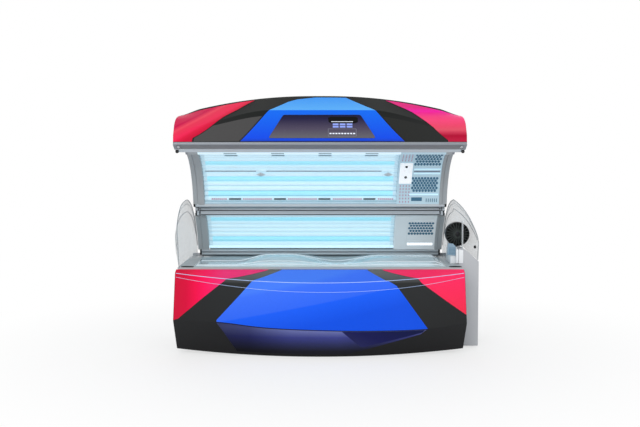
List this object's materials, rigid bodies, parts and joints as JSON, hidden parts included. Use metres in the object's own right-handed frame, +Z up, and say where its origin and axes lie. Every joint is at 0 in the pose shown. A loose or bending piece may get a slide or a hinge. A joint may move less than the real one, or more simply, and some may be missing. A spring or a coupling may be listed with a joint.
{
  "type": "tanning bed",
  "caption": "Clamshell tanning bed with a hinged lamp canopy on gas springs, a fixed rear side tanner, a wavy acrylic bench, coloured front claddings and clear end shields.",
  "frame": {"origin": "middle of the footprint's bounding box, on the floor", "axes": "+X along the bed to the head end, +Y to the rear hinge side, +Z up"},
  "size_m": [2.4122, 1.1428, 2.0128],
  "materials": {
    "sheet_steel": "satin",
    "canopy_alloy": "satin",
    "black_rubber": "matte",
    "black_gloss": "gloss",
    "blue_gloss": "gloss",
    "red_gloss": "gloss",
    "violet_gloss": "gloss",
    "light_grey": "satin",
    "silver_plastic": "satin",
    "aluminium": "brushed",
    "clear_acrylic": "polished",
    "lamp_glass": "frosted",
    "bright_sheet": "polished",
    "slate_plastic": "satin",
    "white_plastic": "gloss",
    "black_plastic": "satin",
    "black_enamel": "gloss",
    "polished_steel": "polished",
    "display_glass": "gloss"
  },
  "bodies": {
    "base": {"base_pan": "sheet_steel", "end_plate_left": "sheet_steel", "end_plate_right": "sheet_steel", "ballast_case": "sheet_steel", "blower_housing": "sheet_steel", "levelling_foot_front_left": "black_rubber", "levelling_foot_rear_left": "black_rubber", "levelling_foot_front_right": "black_rubber", "levelling_foot_rear_right": "black_rubber", "base_front_cladding": "black_gloss", "base_decor_blue": "blue_gloss", "base_decor_red_left": "red_gloss", "base_decor_red_right": "red_gloss", "base_accent_lens": "violet_gloss", "base_end_panel_left": "light_grey", "base_rear_panel": "light_grey", "climate_unit": "light_grey", "side_rear_shell": "light_grey", "bench_deck": "silver_plastic", "side_end_frame_left": "silver_plastic", "side_end_frame_right": "silver_plastic", "side_upper_profile": "aluminium", "side_lower_profile": "aluminium", "side_acrylic": "clear_acrylic", "end_shield_left": "clear_acrylic", "end_shield_right": "clear_acrylic", "bench_lamp_bank": "lamp_glass", "side_lamp_bank": "lamp_glass", "bench_reflector": "bright_sheet", "side_reflector": "bright_sheet", "side_speaker_panel": "slate_plastic", "head_console": "white_plastic", "fan_cowl": "black_plastic"},
    "canopy": {"canopy_frame": "canopy_alloy", "canopy_acrylic": "clear_acrylic", "canopy_lamp_bank": "lamp_glass", "canopy_reflector": "bright_sheet", "face_tanner_panel": "slate_plastic", "nozzle_plate": "white_plastic", "canopy_front_cladding": "black_gloss", "canopy_decor_blue": "blue_gloss", "canopy_decor_red_left": "red_gloss", "canopy_decor_red_right": "red_gloss", "control_panel": "display_glass", "canopy_roof": "black_gloss", "canopy_front_rail": "aluminium", "canopy_lower_profile": "aluminium", "canopy_end_frame_left": "silver_plastic", "canopy_end_frame_right": "silver_plastic"},
    "bench": {"bench_acrylic": "clear_acrylic"},
    "pane_lock_left": {"pane_lock_left": "aluminium"},
    "pane_lock_right": {"pane_lock_right": "aluminium"},
    "mist_nozzle_upper": {"mist_nozzle_upper": "black_plastic"},
    "mist_nozzle_lower": {"mist_nozzle_lower": "black_plastic"},
    "blower_wheel": {"blower_wheel": "black_plastic"},
    "fan_wheel": {"fan_wheel": "black_plastic"},
    "strut_tube_left": {"strut_tube_left": "black_enamel"},
    "strut_tube_right": {"strut_tube_right": "black_enamel"},
    "strut_rod_left": {"strut_rod_left": "polished_steel"},
    "strut_rod_right": {"strut_rod_right": "polished_steel"}
  },
  "joints": [
    {"name": "canopy_hinge", "type": "hinge", "parent": "base", "child": "canopy", "pos_m": [-0.06344, 0.21138, 1.09], "axis": [1, 0, 0], "range_deg": [0, 55]},
    {"name": "bench_lift", "type": "hinge", "parent": "base", "child": "bench", "pos_m": [-0.06344, 0.39038, 0.6748], "axis": [-1, 0, 0], "range_deg": [0, 22]},
    {"name": "pane_lock_left_turn", "type": "hinge", "parent": "canopy", "child": "pane_lock_left", "pos_m": [-0.53844, -0.00636, 1.38232], "axis": [0, 0.7501, 0.6613], "range_deg": [0, 90]},
    {"name": "pane_lock_right_turn", "type": "hinge", "parent": "canopy", "child": "pane_lock_right", "pos_m": [0.48356, -0.00636, 1.38232], "axis": [0, 0.7501, 0.6613], "range_deg": [0, 90]},
    {"name": "mist_nozzle_upper_swivel", "type": "hinge", "parent": "canopy", "child": "mist_nozzle_upper", "pos_m": [0.62656, -0.07374, 1.4494], "axis": [1, 0, 0], "range_deg": [-15, 15]},
    {"name": "mist_nozzle_lower_swivel", "type": "hinge", "parent": "canopy", "child": "mist_nozzle_lower", "pos_m": [0.62656, 0.01287, 1.36279], "axis": [1, 0, 0], "range_deg": [-15, 15]},
    {"name": "blower_spin", "type": "hinge", "parent": "base", "child": "blower_wheel", "pos_m": [0.38656, 0.24138, 0.15], "axis": [0, 0, 1], "continuous": true},
    {"name": "fan_spin", "type": "hinge", "parent": "base", "child": "fan_wheel", "pos_m": [1.04456, 0.01338, 0.904], "axis": [0, 1, 0], "continuous": true},
    {"name": "strut_left_swing", "type": "hinge", "parent": "base", "child": "strut_tube_left", "pos_m": [-1.03544, 0.51138, 0.76], "axis": [1, 0, 0], "range_deg": [-8, 1]},
    {"name": "strut_left_stroke", "type": "slide", "parent": "strut_tube_left", "child": "strut_rod_left", "axis": [0, -0.5963, 0.8027], "range_m": [-0.002, 0.075]},
    {"name": "strut_right_swing", "type": "hinge", "parent": "base", "child": "strut_tube_right", "pos_m": [0.90856, 0.51138, 0.76], "axis": [1, 0, 0], "range_deg": [-8, 1]},
    {"name": "strut_right_stroke", "type": "slide", "parent": "strut_tube_right", "child": "strut_rod_right", "axis": [0, -0.5963, 0.8027], "range_m": [-0.002, 0.075]}
  ],
  "couplings": [
    {"joint": "strut_left_swing", "follows": "canopy_hinge", "ratio": -0.1005},
    {"joint": "strut_left_stroke", "follows": "canopy_hinge", "m_per_rad": 0.0687},
    {"joint": "strut_right_swing", "follows": "canopy_hinge", "ratio": -0.1005},
    {"joint": "strut_right_stroke", "follows": "canopy_hinge", "m_per_rad": 0.0687}
  ]
}
